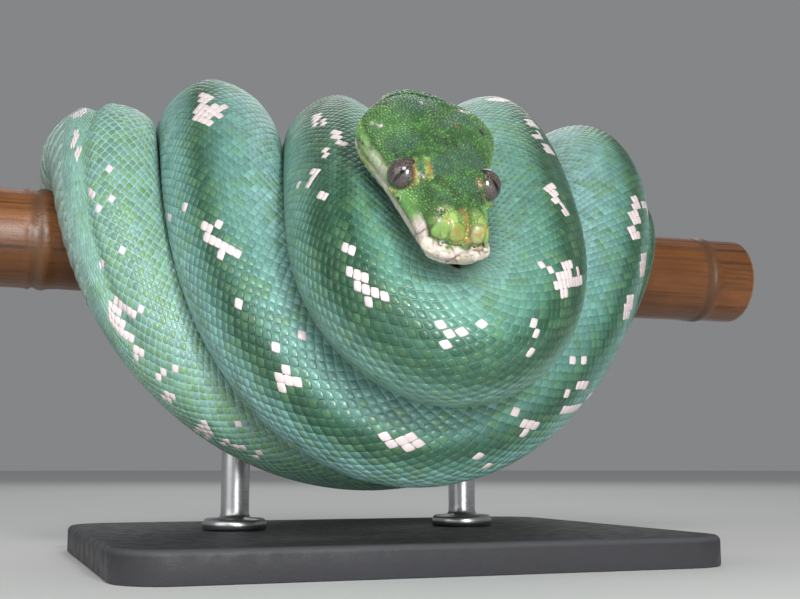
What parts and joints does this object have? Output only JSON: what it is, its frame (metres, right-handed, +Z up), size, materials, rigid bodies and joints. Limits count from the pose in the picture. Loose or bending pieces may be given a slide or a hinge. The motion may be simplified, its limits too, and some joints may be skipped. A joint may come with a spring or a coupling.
{
  "type": "green tree python model",
  "caption": "Life-size still model of a green tree python coiled over a short bamboo perch, head resting on its loops, on a flat base with rods.",
  "frame": {"origin": "on the underside of the stand's base, straight below the middle of the perch's axis, at floor level", "axes": "+X along the perch towards the tail's end of it, -Y towards the side that the head hangs on, +Z up"},
  "size_m": [0.246, 0.2376, 0.1384],
  "materials": {
    "head_skin": "satin scales, brighter green than the body",
    "jaw_skin": "satin cream and pale green lip scales",
    "body_skin": "satin blue-green scales with pinkish-white patches",
    "eye": "glossy, brown-grey with a dark vertical slit",
    "bamboo": "satin cane rind with dark streaks",
    "stand_base": "matt black paint",
    "stand_rod": "brushed"
  },
  "bodies": {
    "root": {"head": "head_skin", "lower_jaw": "jaw_skin", "eye_right": "eye", "eye_left": "eye", "neck": "body_skin", "trunk_01": "body_skin", "trunk_02": "body_skin", "trunk_03": "body_skin", "trunk_04": "body_skin", "trunk_05": "body_skin", "trunk_06": "body_skin", "trunk_07": "body_skin", "trunk_08": "body_skin", "trunk_09": "body_skin", "trunk_10": "body_skin", "trunk_11": "body_skin", "trunk_12": "body_skin", "tail": "body_skin", "perch": "bamboo", "stand_base": "stand_base", "stand_rod_left": "stand_rod", "stand_rod_right": "stand_rod"}
  },
  "joints": []
}
